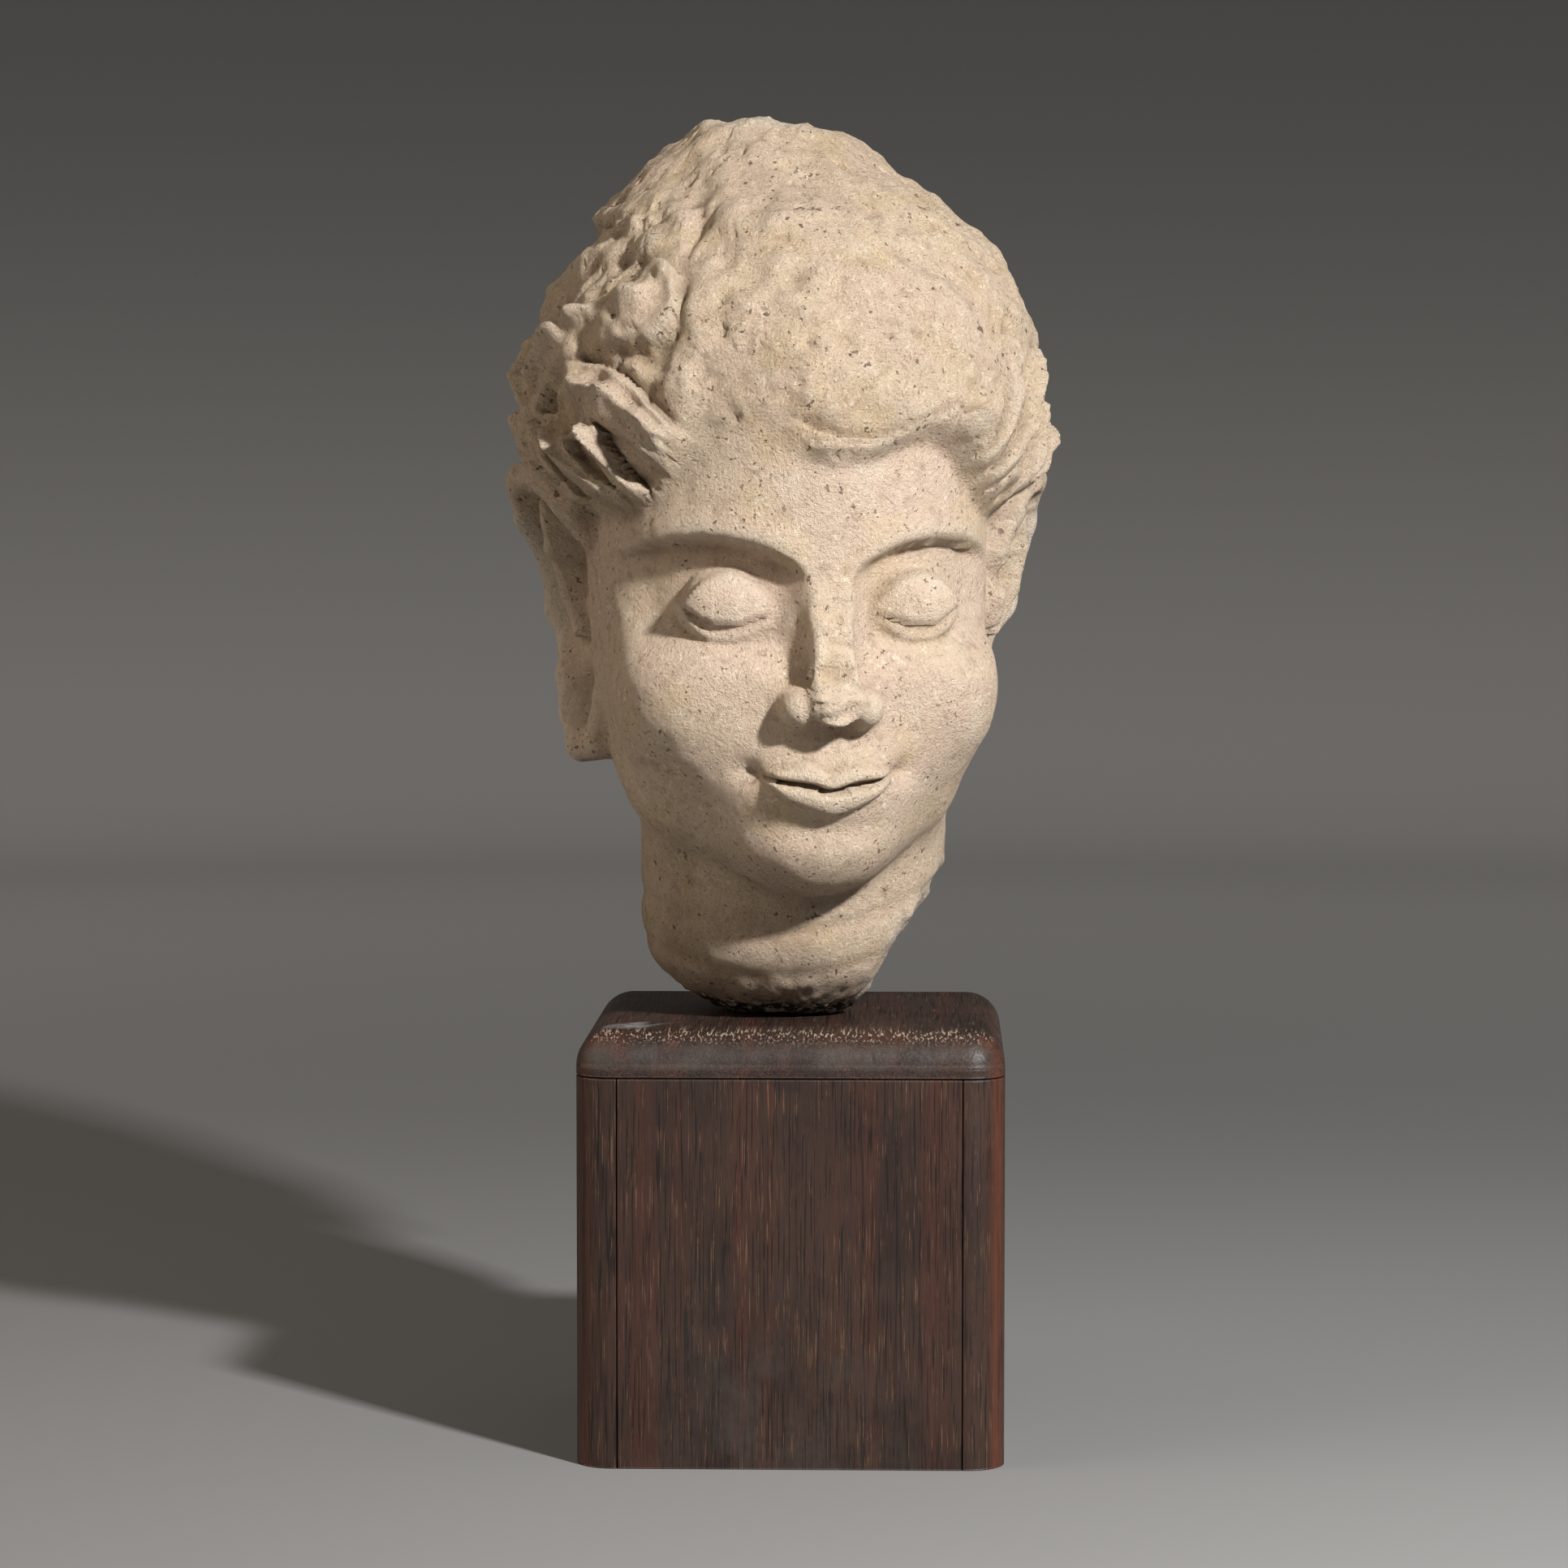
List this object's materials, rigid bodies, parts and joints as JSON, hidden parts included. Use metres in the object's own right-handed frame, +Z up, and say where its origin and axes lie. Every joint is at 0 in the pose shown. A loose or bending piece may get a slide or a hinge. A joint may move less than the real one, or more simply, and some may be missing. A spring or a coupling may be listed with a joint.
{
  "type": "stucco head on wooden plinth",
  "caption": "Broken stucco head with curly hair, long ears and a worn topknot, resting on a hollow block of dark boards.",
  "frame": {"origin": "centre of the whole object's box, on the surface that the plinth stands on", "axes": "+Z up, the plinth's front faces -Y, +X is to the right of someone facing the front"},
  "size_m": [0.1522, 0.1744, 0.3647],
  "materials": {
    "stucco": "worn cream lime stucco, finely pitted, with brown patina in the hollows",
    "plinth_wood": "near-black brown open-pored wood, waxed, worn red at the corners"
  },
  "bodies": {
    "root": {"stucco_head": "stucco", "plinth_top_board": "plinth_wood", "plinth_front_board": "plinth_wood", "plinth_back_board": "plinth_wood", "plinth_left_board": "plinth_wood", "plinth_right_board": "plinth_wood"}
  },
  "joints": []
}
